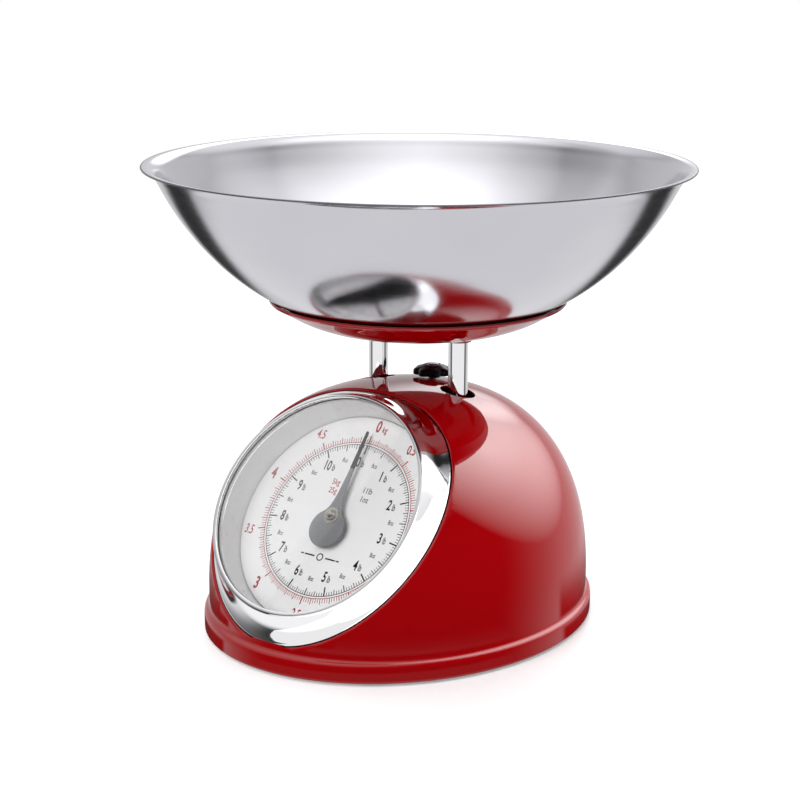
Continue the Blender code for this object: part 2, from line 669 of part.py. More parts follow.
turned_here("front_bush", [
    (1.3, CUP_FLOOR + 1.4), (3.6, CUP_FLOOR + 1.4), (3.6, CUP_FLOOR - 1.5), (5.4, CUP_FLOOR - 1.5), (5.4, CUP_FLOOR - 3.0),
    (1.3, CUP_FLOOR - 3.0),
], 18, "brass", dial)
turned_here("rear_bush", [
    (1.3, MESH_H - 2.9), (3.4, MESH_H - 2.9), (3.4, MESH_H - 4.1), (2.0, MESH_H - 4.1), (2.0, MESH_H - 7.4),
    (1.3, MESH_H - 7.4),
], 18, "brass", dial)

# ---------------------------------------------------------------- pointer group
turned_here("pointer_arbor", [
    (0, -4.6), (1.0, -4.6), (1.0, MESH_H - 8.2), (0, MESH_H - 8.2),
], 14, "zinc_steel", pointer_axis)
POINTER_H = -6.9
tail = []
for i in range(21):
    a = math.radians(180 - 40 + (260 / 20) * i)
    tail.append((9.4 * math.cos(a), -6.2 + 9.4 * math.sin(a)))
arm = [(4.9, 2.6), (3.2, 6.2), (2.6, 10.0), (2.0, 18.0), (1.5, 26.0), (1.0, 27.6), (0.62, 43.4), (0.3, 44.0)]
points = tail + arm + [(-x, y) for x, y in arm[::-1]]
pointer = link("pointer", outline_mesh("pointer", points, POINTER_H, POINTER_H + 0.8), "pointer_grey", pointer_axis)
smooth(pointer)
hole = link("pointer_hole", cylinder_mesh("pointer_hole", 1.3, (0, 0, -12), (0, 0, 0), 16), cutter=True)
hole.parent = pointer_axis
boolean(pointer, hole, "DIFFERENCE")
turned_here("pointer_cap", [
    (0, -3.4), (1.6, -3.5), (2.8, -4.0), (3.3, -4.7), (3.3, POINTER_H + 1.1), (1.3, POINTER_H + 1.1), (1.3, -4.3), (0, -4.3),
], 20, "brass", pointer_axis)

# pinion: involute-like teeth round a hub
gear = []
for i in range(PINION_TEETH):
    # a gap of the pinion faces +x, where the rack's tooth stands
    a0 = 2 * math.pi * (i + 0.5) / PINION_TEETH
    for r, da in ((PITCH_R - 1.25 * MODULE, -0.30), (PITCH_R, -0.14), (PITCH_R + 0.85 * MODULE, -0.06),
                  (PITCH_R + 0.85 * MODULE, 0.06), (PITCH_R, 0.14), (PITCH_R - 1.25 * MODULE, 0.30)):
        gear.append((r * math.cos(a0 + da), r * math.sin(a0 + da)))
pinion = link("pinion", outline_mesh("pinion", gear, MESH_H - 1.5, MESH_H + 1.5), "brass", pointer_axis)
smooth(pinion)
hub = link("pinion_hub", cylinder_mesh("pinion_hub", 1.95, (0, 0, MESH_H + 1.2), (0, 0, MESH_H + 5.0), 18), cutter=True)
bore = link("pinion_bore", cylinder_mesh("pinion_bore", 1.25, (0, 0, MESH_H - 5), (0, 0, MESH_H + 8), 14), cutter=True)
for tool, operation in ((hub, "UNION"), (bore, "DIFFERENCE")):
    tool.parent = pointer_axis
    boolean(pinion, tool, operation)

# ---------------------------------------------------------------- rack
pitch = math.pi * MODULE
FIRST, LAST = -4, 14
strip = [(7.1, -6.0)]
s = (FIRST - 0.5) * pitch
strip.append((PITCH_R + 1.45 * MODULE, -6.0))
for i in range(FIRST, LAST + 1):
    c = i * pitch
    strip += [
        (PITCH_R + 1.45 * MODULE, c - 0.30 * pitch), (PITCH_R - 0.6 * MODULE, c - 0.07 * pitch),
        (PITCH_R - 0.6 * MODULE, c + 0.07 * pitch), (PITCH_R + 1.45 * MODULE, c + 0.30 * pitch),
    ]
strip += [(PITCH_R + 1.45 * MODULE, 24.0), (7.1, 24.0)]
rack = link("rack", outline_mesh("rack", strip, MESH_H - 1.0, MESH_H + 1.0), "brass", dial)
smooth(rack)
dial_join(rack, box_mesh("rack_wing", 5.5, 6.95, S_PIN - 3.2, S_PIN + 4.0, MESH_H - 16.0, MESH_H + 0.4))
slot = bmesh.new()
bmesh.ops.create_cone(slot, cap_ends=True, segments=16, radius1=(1.0 + GAP) * MM, radius2=(1.0 + GAP) * MM, depth=0.02)
bmesh.ops.transform(slot, matrix=Matrix.Rotation(math.pi / 2, 4, "Y"), verts=slot.verts)
SLOT_END = H_PIN - TRAVEL * math.sin(T) - 0.4
for v in slot.verts:
    v.co.z += (H_PIN + 0.4 if v.co.z > 0 else SLOT_END) * MM
    v.co.y += S_PIN * MM
    v.co.x += 6.0 * MM
dial_join(rack, finish(slot, "rack_slot"), "DIFFERENCE")

# ---------------------------------------------------------------- zero adjuster: knob, cap, screw, hanger, springs
lobes = []
for i in range(64):
    a = 2 * math.pi * i / 64
    lobes.append(((KNOB_R - 0.75 + 0.75 * math.cos(8 * a)) * math.cos(a), (KNOB_R - 0.75 + 0.75 * math.cos(8 * a)) * math.sin(a)))
knob = link("zero_knob", outline_mesh("zero_knob", lobes, KNOB_Z, KNOB_Z + 3.4), "black_plastic", knob_axis)
smooth(knob)
for operation, mesh in (
    ("UNION", cylinder_mesh("knob_top", 7.2, (0, 0, KNOB_Z + 3.1), (0, 0, KNOB_Z + 4.9), 32, 4.4)),
    ("DIFFERENCE", cylinder_mesh("cap_seat", 3.3, (0, 0, KNOB_Z + 4.0), (0, 0, KNOB_Z + 9), 20)),
    ("DIFFERENCE", cylinder_mesh("screw_bore", 2.3, (0, 0, KNOB_Z - 3), (0, 0, KNOB_Z + 3.0), 16)),
):
    tool = link("zero_knob_tool", mesh, cutter=True)
    tool.parent = knob_axis
    boolean(knob, tool, operation)
turned_here("knob_cap", [
    (0, KNOB_TOP), (2.1, KNOB_TOP - 0.1), (3.0, KNOB_TOP - 0.6), (3.0, KNOB_Z + 4.3), (0, KNOB_Z + 4.3),
], 20, "zinc_steel", knob_axis)
turned_here("adjusting_screw", [
    (0, KNOB_Z + 2.7), (2.0, KNOB_Z + 2.7), (2.0, 101.7), (3.1, 101.7), (3.1, 100.1), (2.0, 100.1), (2.0, 82.0), (1.4, 81.2), (0, 81.2),
], 16, "zinc_steel", knob_axis)
HANGER_Z = 88.0
hanger = link("spring_hanger", box_mesh("spring_hanger", -13.4, 13.4, -4.2, 4.2, HANGER_Z, HANGER_Z + 1.8), "zinc_steel", hanger_axis)
smooth(hanger)
for operation, mesh in (
    ("UNION", cylinder_mesh("nut", 4.0, (0, 0, HANGER_Z - 4.5), (0, 0, HANGER_Z + 0.4), 18)),
    ("DIFFERENCE", cylinder_mesh("nut_bore", 2.3, (0, 0, 70), (0, 0, 110), 16)),
    ("DIFFERENCE", cylinder_mesh("hook_hole", 1.9, (-SPRING_X, 0, 70), (-SPRING_X, 0, 110), 14)),
    ("DIFFERENCE", cylinder_mesh("hook_hole", 1.9, (SPRING_X, 0, 70), (SPRING_X, 0, 110), 14)),
):
    tool = link("hanger_tool", mesh, cutter=True)
    tool.parent = hanger_axis
    boolean(hanger, tool, operation)


def spring(name, x):
    """An extension spring with a hook at each end, passing through the holes of the hanger and the yoke."""
    curve = bpy.data.curves.new(name, "CURVE")
    curve.dimensions = "3D"
    curve.bevel_depth = SPRING_WIRE / 2 * MM
    curve.bevel_resolution = 0
    curve.use_fill_caps = True
    turns, per = 12, 8
    r = SPRING_R - SPRING_WIRE / 2
    low, high = 31.0, HANGER_Z - 4.0
    pts = [(-2.6, 0, 23.2), (-1.2, 0, 22.6), (0, 0, 23.8), (0, 0, 28.6), (1.6, 0, 30.2)]
    for i in range(turns * per + 1):
        a = 2 * math.pi * i / per
        pts.append((r * math.cos(a), r * math.sin(a), low + (high - low) * i / (turns * per)))
    pts += [(1.6, 0, high + 0.8), (0, 0, high + 2.0), (0, 0, HANGER_Z + 2.6), (1.2, 0, HANGER_Z + 3.6), (2.6, 0, HANGER_Z + 3.0)]
    spline = curve.splines.new("POLY")
    spline.points.add(len(pts) - 1)
    for p, (a, b, c) in zip(spline.points, pts):
        p.co = ((x + a) * MM, (KNOB_Y + b) * MM, c * MM, 1)
    o = bpy.data.objects.new(name, curve)
    parts.objects.link(o)
    o.parent = root
    curve.materials.append(MATERIALS["spring_steel"])
    return o


spring("left_spring", -SPRING_X)
spring("right_spring", SPRING_X)

bpy.context.view_layer.update()
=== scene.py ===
"""Looks of a mechanical kitchen scale: red enamelled body, slanted printed dial, chrome trim, lift-off steel bowl."""

import json
import math

import bmesh
import bpy
from mathutils import Matrix, Vector

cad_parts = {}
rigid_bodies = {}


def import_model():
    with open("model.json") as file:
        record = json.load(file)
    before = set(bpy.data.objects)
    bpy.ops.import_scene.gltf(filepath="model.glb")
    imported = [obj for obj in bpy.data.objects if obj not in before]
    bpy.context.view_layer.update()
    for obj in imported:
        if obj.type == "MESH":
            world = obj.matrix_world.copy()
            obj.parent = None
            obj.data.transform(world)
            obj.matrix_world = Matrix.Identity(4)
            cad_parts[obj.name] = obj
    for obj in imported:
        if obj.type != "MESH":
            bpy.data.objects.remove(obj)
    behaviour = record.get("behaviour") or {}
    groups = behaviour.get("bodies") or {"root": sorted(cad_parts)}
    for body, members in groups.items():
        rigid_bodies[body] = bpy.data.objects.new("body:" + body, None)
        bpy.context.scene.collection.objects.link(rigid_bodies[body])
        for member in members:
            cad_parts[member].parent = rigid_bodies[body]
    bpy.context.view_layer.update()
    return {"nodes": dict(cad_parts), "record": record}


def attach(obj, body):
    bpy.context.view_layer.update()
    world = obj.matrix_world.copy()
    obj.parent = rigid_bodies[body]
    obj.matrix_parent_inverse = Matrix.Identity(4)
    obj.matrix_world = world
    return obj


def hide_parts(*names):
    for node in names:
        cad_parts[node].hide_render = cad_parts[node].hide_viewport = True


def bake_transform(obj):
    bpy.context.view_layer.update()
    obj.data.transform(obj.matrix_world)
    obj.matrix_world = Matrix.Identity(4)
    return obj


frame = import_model()

MM = 0.001

# ------------------------------------------------------------------ sizes shared with the CAD, millimetres
DIAL_C = Vector((0.0, -70.4, 65.4)) * MM
TILT = math.radians(38.0)
D = Matrix.Translation(DIAL_C) @ Matrix.Rotation(math.pi / 2 - TILT, 4, "X")
DOME_A, DOME_B, DOME_C, DOME_M, DOME_Y, DOME_Z = 87.0, 99.6, 98.7, 2.42, -13.2, 15.8
SKIRT_A, SKIRT_B, SKIRT_Y = 88.6, 103.3, -12.9
SKIRT = [(15.8, 0.0), (13.0, 0.0), (11.7, 0.06), (10.8, 0.3), (10.0, 0.68), (9.0, 0.93), (7.8, 1.0), (1.5, 1.0)]
SHELL_T = 0.9
OPEN_LOW, OPEN_LEAN = -66.4, 0.022
POST_X, POST_R, POST_HOLE = 24.0, 4.75, 8.4
KNOB_Y, KNOB_Z, KNOB_R = 12.3, 114.7, 9.6
PLATE_H = -10.4
LENS_R, LIP_R, RING_R = 54.4, 53.7, 55.75
CUP_R, CUP_FLOOR = 53.3, -13.0


# ------------------------------------------------------------------ material helpers
def node_of(m, kind, **inputs):
    n = m.node_tree.nodes.new(kind)
    for key, value in inputs.items():
        if key.startswith("_"):
            setattr(n, key[1:], value)
        else:
            n.inputs[key.replace("__", " ")].default_value = value
    return n


def principled(name, colour, rough, metal=0.0, **more):
    m = bpy.data.materials.new(name)
    m.use_nodes = True
    p = m.node_tree.nodes["Principled BSDF"]
    p.inputs["Base Color"].default_value = (*colour, 1)
    p.inputs["Roughness"].default_value = rough
    p.inputs["Metallic"].default_value = metal
    for key, value in more.items():
        p.inputs[key.replace("__", " ")].default_value = value
    m.diffuse_color = (*colour, 1)
    return m, p


def noise(m, scale, detail=3.0, rough=0.55, vector=None):
    n = node_of(m, "ShaderNodeTexNoise")
    n.inputs["Scale"].default_value = scale
    n.inputs["Detail"].default_value = detail
    n.inputs["Roughness"].default_value = rough
    if vector is None:
        co = node_of(m, "ShaderNodeTexCoord")
        vector = co.outputs["Object"]
    m.node_tree.links.new(vector, n.inputs["Vector"])
    return n.outputs["Fac"]


def ramp(m, fac, stops, linear=True):
    r = node_of(m, "ShaderNodeValToRGB")
    while len(r.color_ramp.elements) < len(stops):
        r.color_ramp.elements.new(0.5)
    for e, (pos, col) in zip(r.color_ramp.elements, stops):
        e.position = pos
        e.color = (*col, 1) if len(col) == 3 else (col[0], col[0], col[0], 1)
    m.node_tree.links.new(fac, r.inputs["Fac"])
    return r.outputs["Color"]


def remap(m, fac, low, high, from_low=0.3, from_high=0.7):
    r = node_of(m, "ShaderNodeMapRange")
    r.inputs["From Min"].default_value = from_low
    r.inputs["From Max"].default_value = from_high
    r.inputs["To Min"].default_value = low
    r.inputs["To Max"].default_value = high
    m.node_tree.links.new(fac, r.inputs["Value"])
    return r.outputs["Result"]


def bump(m, p, height, strength, distance, chain=None):
    b = node_of(m, "ShaderNodeBump")
    b.inputs["Strength"].default_value = strength
    b.inputs["Distance"].default_value = distance
    m.node_tree.links.new(height, b.inputs["Height"])
    if chain:
        m.node_tree.links.new(chain, b.inputs["Normal"])
    m.node_tree.links.new(b.outputs["Normal"], p.inputs["Normal"])
    return b.outputs["Normal"]


def turned(m, radial, around, along=0.0):
    """Coordinates that draw rings about the object's Z axis, for spun or turned metal."""
    co = node_of(m, "ShaderNodeTexCoord")
    sep = node_of(m, "ShaderNodeSeparateXYZ")
    m.node_tree.links.new(co.outputs["Object"], sep.inputs[0])
    length = node_of(m, "ShaderNodeVectorMath", _operation="LENGTH")
    flat = node_of(m, "ShaderNodeCombineXYZ")
    m.node_tree.links.new(sep.outputs["X"], flat.inputs["X"])
    m.node_tree.links.new(sep.outputs["Y"], flat.inputs["Y"])
    m.node_tree.links.new(flat.outputs[0], length.inputs[0])
    angle = node_of(m, "ShaderNodeMath", _operation="ARCTAN2")
    m.node_tree.links.new(sep.outputs["Y"], angle.inputs[0])
    m.node_tree.links.new(sep.outputs["X"], angle.inputs[1])
    out = node_of(m, "ShaderNodeCombineXYZ")
    for source, factor, slot in ((length.outputs["Value"], radial, "X"), (angle.outputs[0], around, "Y"), (sep.outputs["Z"], along, "Z")):
        mul = node_of(m, "ShaderNodeMath", _operation="MULTIPLY")
        mul.inputs[1].default_value = factor
        m.node_tree.links.new(source, mul.inputs[0])
        m.node_tree.links.new(mul.outputs[0], out.inputs[slot])
    return out.outputs[0]


# red enamel: glossy clear coat, faint orange peel, tiny shade variation
red, p = principled("red_enamel_paint", (0.31, 0.0, 0.001), 0.32, Coat__Weight=1.0, Coat__Roughness=0.025, Coat__IOR=1.6, Specular__IOR__Level=0.0)
red.node_tree.links.new(
    ramp(red, noise(red, 9.0, 2.0), [(0.3, (0.23, 0.0, 0.0008)), (0.7, (0.25, 0.0, 0.0014))]), p.inputs["Base Color"])
red.node_tree.links.new(remap(red, noise(red, 45.0, 3.0), 0.28, 0.36), p.inputs["Roughness"])
bump(red, p, noise(red, 420.0, 1.0), 0.06, 0.00006)
coat = node_of(red, "ShaderNodeBump")
coat.inputs["Strength"].default_value = 0.035
coat.inputs["Distance"].default_value = 0.00005
red.node_tree.links.new(noise(red, 260.0, 1.0), coat.inputs["Height"])
red.node_tree.links.new(coat.outputs["Normal"], p.inputs["Coat Normal"])

# bowl: spun stainless, polished, with fine turning lines
steel, p = principled("spun_stainless", (0.60, 0.595, 0.63), 0.14, 1.0)
rings = noise(steel, 1.0, 4.0, 0.7, turned(steel, 2600.0, 2.0, 2600.0))
steel.node_tree.links.new(remap(steel, rings, 0.10, 0.19), p.inputs["Roughness"])
cloud = noise(steel, 14.0, 2.0)
steel.node_tree.links.new(ramp(steel, cloud, [(0.3, (0.59, 0.585, 0.62)), (0.7, (0.63, 0.625, 0.655))]), p.inputs["Base Color"])
bump(steel, p, rings, 0.05, 0.00002)

# the outer band of the bowl's lip in darker, duller steel: painted shade for the dark line along the rim
lip_painted_shade_steel, p = principled("trimmed_lip_painted_shade_steel", (0.2, 0.2, 0.215), 0.4, 1.0)
lip_painted_shade_steel.node_tree.links.new(remap(lip_painted_shade_steel, noise(lip_painted_shade_steel, 900.0, 3.0), 0.32, 0.5), p.inputs["Roughness"])

chrome, p = principled("bright_chrome", (0.93, 0.93, 0.94), 0.03, 1.0)
chrome.node_tree.links.new(remap(chrome, noise(chrome, 60.0, 3.0), 0.02, 0.05), p.inputs["Roughness"])
bump(chrome, p, noise(chrome, 180.0, 1.0), 0.02, 0.00002)

black, p = principled("black_moulding", (0.004, 0.004, 0.005), 0.3, Specular__IOR__Level=0.22)
black.node_tree.links.new(remap(black, noise(black, 700.0, 2.0), 0.22, 0.36), p.inputs["Roughness"])
bump(black, p, noise(black, 1500.0, 2.0), 0.08, 0.00004)

white, p = principled("white_moulding", (0.83, 0.83, 0.83), 0.3, Specular__IOR__Level=0.45)
white.node_tree.links.new(remap(white, noise(white, 220.0, 2.0), 0.26, 0.36), p.inputs["Roughness"])
bump(white, p, noise(white, 600.0, 2.0), 0.04, 0.00003)

paper, p = principled("dial_print_base", (0.9, 0.9, 0.9), 0.42, Specular__IOR__Level=0.35)
paper.node_tree.links.new(ramp(paper, noise(paper, 30.0, 3.0), [(0.3, (0.885, 0.885, 0.885)), (0.7, (0.905, 0.905, 0.905))]), p.inputs["Base Color"])
bump(paper, p, noise(paper, 900.0, 2.0), 0.03, 0.00003)


def ink(name, colour):
    m, p = principled(name, colour, 0.45, Specular__IOR__Level=0.3)
    a = [c * 0.92 for c in colour]
    m.node_tree.links.new(ramp(m, noise(m, 300.0, 2.0), [(0.3, a), (0.7, colour)]), p.inputs["Base Color"])
    return m


ink_black = ink("ink_black", (0.004, 0.004, 0.004))
ink_grey = ink("ink_grey", (0.05, 0.05, 0.052))
ink_red = ink("ink_red", (0.40, 0.0, 0.004))

grey, p = principled("pointer_grey_paint", (0.235, 0.24, 0.25), 0.38, 0.15)
grey.node_tree.links.new(remap(grey, noise(grey, 500.0, 2.0), 0.33, 0.44), p.inputs["Roughness"])
bump(grey, p, noise(grey, 1200.0, 2.0), 0.05, 0.00003)
needle_black, p = principled("needle_black_paint", (0.006, 0.006, 0.006), 0.5, Specular__IOR__Level=0.15)
needle_black.node_tree.links.new(remap(needle_black, noise(needle_black, 500.0, 2.0), 0.35, 0.45), p.inputs["Roughness"])

zinc, p = principled("zinc_plated_steel", (0.58, 0.59, 0.6), 0.36, 1.0)
zinc.node_tree.links.new(remap(zinc, noise(zinc, 130.0, 5.0, 0.7), 0.26, 0.48), p.inputs["Roughness"])
zinc.node_tree.links.new(ramp(zinc, noise(zinc, 60.0, 4.0), [(0.3, (0.5, 0.51, 0.53)), (0.7, (0.64, 0.64, 0.62))]), p.inputs["Base Color"])
bump(zinc, p, noise(zinc, 800.0, 3.0), 0.08, 0.00004)

brass, p = principled("turned_brass", (0.62, 0.45, 0.2), 0.28, 1.0)
brass.node_tree.links.new(remap(brass, noise(brass, 400.0, 3.0), 0.2, 0.36), p.inputs["Roughness"])
cap_metal, p = principled("pointer_cap_metal", (0.66, 0.63, 0.56), 0.2, 1.0)
cap_metal.node_tree.links.new(remap(cap_metal, noise(cap_metal, 600.0, 3.0), 0.14, 0.28), p.inputs["Roughness"])

wire, p = principled("drawn_spring_wire", (0.42, 0.42, 0.44), 0.28, 1.0)
wire.node_tree.links.new(remap(wire, noise(wire, 900.0, 3.0), 0.2, 0.36), p.inputs["Roughness"])

rubber, p = principled("foot_rubber", (0.018, 0.018, 0.018), 0.75)
rubber.node_tree.links.new(remap(rubber, noise(rubber, 500.0, 3.0), 0.65, 0.85), p.inputs["Roughness"])
bump(rubber, p, noise(rubber, 1500.0, 3.0), 0.15, 0.00008)

clear, p = principled("clear_lens", (1.0, 1.0, 1.0), 0.02, 1.0, Specular__IOR__Level=0.2)
edge = node_of(clear, "ShaderNodeFresnel")
edge.inputs["IOR"].default_value = 1.46
clear.node_tree.links.new(edge.outputs["Fac"], p.inputs["Alpha"])
clear.surface_render_method = "BLENDED"


# ------------------------------------------------------------------ mesh helpers
def smoothed(points, per=6, keep=()):
    """Catmull-Rom through the profile points; points listed in keep stay corners."""
    out = []
    n = len(points)
    for i in range(n - 1):
        p1, p2 = Vector(points[i]), Vector(points[i + 1])
        p0 = Vector(points[i - 1]) if i > 0 and i not in keep else p1 - (p2 - p1)
        p3 = Vector(points[i + 2]) if i + 2 < n and i + 1 not in keep else p2 + (p2 - p1)
        for k in range(per):
            t = k / per
            out.append(tuple(0.5 * (2 * p1 + (p2 - p0) * t + (2 * p0 - 5 * p1 + 4 * p2 - p3) * t * t
                                    + (3 * p1 - 3 * p2 + p3 - p0) * t**3)))
    out.append(tuple(points[-1]))
    return out


def lathe(profile, steps):
    """A profile of (radius, height) turned about Z. It closes at the axis, or onto itself."""
    bm = bmesh.new()
    rows = []
    for r, z in profile:
        if r < 1e-6:
            rows.append([bm.verts.new((0, 0, z * MM))])
        else:
            rows.append([bm.verts.new((r * MM * math.cos(2 * math.pi * i / steps), r * MM * math.sin(2 * math.pi * i / steps), z * MM))
                         for i in range(steps)])
    pairs = list(zip(rows, rows[1:]))
    if len(rows[0]) > 1 and len(rows[-1]) > 1:
        pairs.append((rows[-1], rows[0]))
    for a, b in pairs:
        for i in range(steps):
            j = (i + 1) % steps
            if len(a) == 1 and len(b) == 1:
                continue
            if len(a) == 1:
                bm.faces.new((a[0], b[j], b[i]))
            elif len(b) == 1:
                bm.faces.new((a[i], a[j], b[0]))
            else:
                bm.faces.new((a[i], a[j], b[j], b[i]))
    bmesh.ops.recalc_face_normals(bm, faces=bm.faces)
    return bm


def loft(loops, closed=True):
    """Quads between loops of equal length, joined end to end."""
    bm = bmesh.new()
    rows = [[bm.verts.new(v) for v in loop] for loop in loops]
    n = len(rows[0])
    for a, b in zip(rows, rows[1:] + (rows[:1] if closed else [])):
        for i in range(n):
            j = (i + 1) % n
            bm.faces.new((a[i], a[j], b[j], b[i]))
    bmesh.ops.recalc_face_normals(bm, faces=bm.faces)
    return bm


def extruded(points, z0, z1, bevel=0.0):
    """An outline of (x, y) raised from z0 to z1, its upper edge rounded."""
    bm = bmesh.new()
    low = [bm.verts.new((x * MM, y * MM, z0 * MM)) for x, y in points]
    face = bm.faces.new(low)
    up = bmesh.ops.extrude_face_region(bm, geom=[face])["geom"]
    top = [g for g in up if isinstance(g, bmesh.types.BMVert)]
    for v in top:
        v.co.z = z1 * MM
    bmesh.ops.recalc_face_normals(bm, faces=bm.faces)
    if bevel:
        edges = [e for e in bm.edges if all(abs(v.co.z - z1 * MM) < 1e-9 for v in e.verts)]
        bmesh.ops.bevel(bm, geom=edges, offset=bevel * MM, segments=3, profile=0.5, affect="EDGES")
    return bm


def piece(name, bm, mat, body, replaces=(), matrix=None, angle=32):
    mesh = bpy.data.meshes.new(name)
    if matrix is not None:
        bmesh.ops.transform(bm, matrix=matrix, verts=bm.verts)
    bm.to_mesh(mesh)
    bm.free()
    o = bpy.data.objects.new(name, mesh)
    bpy.context.scene.collection.objects.link(o)
    return dress(o, mat, body, replaces, angle)


def dress(o, mat, body, replaces=(), angle=32):
    o.data.materials.clear()
    o.data.materials.append(mat)
    o.data.shade_smooth()
    o.data.set_sharp_from_angle(angle=math.radians(angle))
    if body:
        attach(o, body)
    if replaces:
        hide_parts(*replaces)
    return o


def tool(bm, matrix=None):
    mesh = bpy.data.meshes.new("tool")
    if matrix is not None:
        bmesh.ops.transform(bm, matrix=matrix, verts=bm.verts)
    bmesh.ops.recalc_face_normals(bm, faces=bm.faces)
    bm.to_mesh(mesh)
    bm.free()
    o = bpy.data.objects.new("tool", mesh)
    bpy.context.scene.collection.objects.link(o)
    return o


def rod(r, start, end, steps=48, r_end=None):
    a, b = Vector(start) * MM, Vector(end) * MM
    bm = bmesh.new()
    bmesh.ops.create_cone(bm, cap_ends=True, segments=steps, radius1=r * MM, radius2=(r if r_end is None else r_end) * MM, depth=(b - a).length)
    turn = (b - a).to_track_quat("Z", "Y").to_matrix().to_4x4()
    bmesh.ops.transform(bm, matrix=Matrix.Translation((a + b) / 2) @ turn, verts=bm.verts)
    return bm


def block(x0, x1, y0, y1, z0, z1):
    bm = bmesh.new()
    bmesh.ops.create_cube(bm, size=1.0)
    for v in bm.verts:
        v.co = Vector((x0 + (v.co.x + 0.5) * (x1 - x0), y0 + (v.co.y + 0.5) * (y1 - y0), z0 + (v.co.z + 0.5) * (z1 - z0))) * MM
    return bm


def carve(bm, jobs, bevel=0.0, solidify=0.0):
    """Boolean work on a mesh, with the modifiers applied and the edges it leaves slightly rounded."""
    o = tool(bm)
    tools = []
    if solidify:
        s = o.modifiers.new("wall", "SOLIDIFY")
        s.thickness = solidify * MM
        s.offset = -1
        s.use_even_offset = True
    for operation, t in jobs:
        m = o.modifiers.new("cut", "BOOLEAN")
        m.operation = operation
        m.solver = "EXACT"
        m.object = t
        tools.append(t)
    if bevel:
        b = o.modifiers.new("edge", "BEVEL")
        b.width = bevel * MM
        b.segments = 2
        b.limit_method = "ANGLE"
        b.angle_limit = math.radians(40)
    bpy.context.view_layer.update()
    graph = bpy.context.evaluated_depsgraph_get()
    mesh = bpy.data.meshes.new_from_object(o.evaluated_get(graph), depsgraph=graph)
    out = bmesh.new()
    out.from_mesh(mesh)
    bpy.data.meshes.remove(mesh)
    for t in [o] + tools:
        bpy.data.objects.remove(t)
    return out


# ------------------------------------------------------------------ body shell
def dome_inside(p, inset):
    plan = math.hypot(p.x / (DOME_A - inset), (p.y - DOME_Y) / (DOME_B - inset))
    up = max(p.z - DOME_Z, 0.0) / (DOME_C - inset)
    return plan**DOME_M + up**DOME_M


def open_height(y):
    return -OPEN_LEAN * (y - OPEN_LOW)


def opening_edge(count, inset):
    edge = []
    for i in range(count):
        a = 2 * math.pi * i / count
        way = Vector((math.sin(a), math.cos(a), 0))
        low, high = 0.0, 90.0
        for _ in range(40):
            mid = (low + high) / 2
            if dome_inside((D @ ((way * mid + Vector((0, 0, open_height(way.y * mid)))) * MM)) / MM, inset) < 1:
                low = mid
            else:
                high = mid
        edge.append(way.xy * low)
    return edge


AROUND = 224
rows = []
for k in range(1, 49):
    a = math.radians(90 - 90 * k / 48)
    rho, zeta = math.cos(a) ** (2 / DOME_M), math.sin(a) ** (2 / DOME_M) if k < 48 else 0.0
    rows.append((DOME_A * rho, DOME_B * rho, DOME_Y, DOME_Z + DOME_C * zeta))
for z, out in smoothed(SKIRT[:-1], 4) + [(6.0, 1.0), (4.0, 1.0), (2.6, 1.0), (1.5, 1.0)]:
    if z > 15.7:
        continue
    rows.append((DOME_A + (SKIRT_A - DOME_A) * out, DOME_B + (SKIRT_B - DOME_B) * out, DOME_Y + (SKIRT_Y - DOME_Y) * out, z))
bm = bmesh.new()
top = bm.verts.new((0, DOME_Y * MM, (DOME_Z + DOME_C) * MM))
rings = [[bm.verts.new((a * math.cos(2 * math.pi * i / AROUND) * MM, (y + b * math.sin(2 * math.pi * i / AROUND)) * MM, z * MM))
          for i in range(AROUND)] for a, b, y, z in rows]
for i in range(AROUND):
    bm.faces.new((top, rings[0][i], rings[0][(i + 1) % AROUND]))
for one, two in zip(rings, rings[1:]):
    for i in range(AROUND):
        j = (i + 1) % AROUND
        bm.faces.new((one[i], two[i], two[j], one[j]))
bmesh.ops.recalc_face_normals(bm, faces=bm.faces)
cuts = [("DIFFERENCE", tool(block(-120, 120, 0, 220, 0, 120),
                            D @ Matrix.Translation((0, OPEN_LOW * MM, 0)) @ Matrix.Rotation(-math.atan(OPEN_LEAN), 4, "X")))]
for side in (-1, 1):
    cuts.append(("DIFFERENCE", tool(rod(POST_HOLE, (side * POST_X, 0, 90), (side * POST_X, 0, 130), 72))))
cuts.append(("DIFFERENCE", tool(rod(3.4, (0, KNOB_Y, 90), (0, KNOB_Y, 130), 40))))
shell = piece("shell_skin", carve(bm, cuts, 0.22, SHELL_T), red, "housing", ["body_shell"], angle=28)

# ------------------------------------------------------------------ bezel ring, lens, cup, dial plate
EDGE = 256
outline = opening_edge(EDGE, SHELL_T + 0.4)
profile = [(0.0, -0.4)] + smoothed([(0.0, 0.35), (0.05, 0.62), (0.14, 0.8), (0.30, 1.35), (0.46, 2.3), (0.62, 3.7), (0.76, 5.4), (0.88, 7.2), (0.965, 8.55)], 4) + [
    (0.985, 8.85), (1.0, 9.02)]
loops = [[((p * (1 - s) + p.normalized() * RING_R * s).to_3d() + Vector((0, 0, h + open_height(p.y) * (1 - s)))) * MM for p in outline]
         for s, h in profile]
for r, h in ((RING_R - 0.5, 9.16), (LIP_R + 0.35, 9.2), (LIP_R, 9.0), (LIP_R, 8.4), (LENS_R + 0.4, 8.4), (LENS_R + 0.4, 6.0), (LENS_R + 1.7, 3.4)):
    loops.append([((p.normalized() * r).to_3d() + Vector((0, 0, h))) * MM for p in outline])
for s, r, h in ((0.5, LENS_R + 2.6, 0.3), (0.94, LENS_R, -0.5)):
    loops.append([((p * s + p.normalized() * r * (1 - s)).to_3d() + Vector((0, 0, h + open_height(p.y) * s))) * MM for p in outline])
piece("bezel_skin", loft(loops), chrome, "housing", ["bezel_ring"], D)

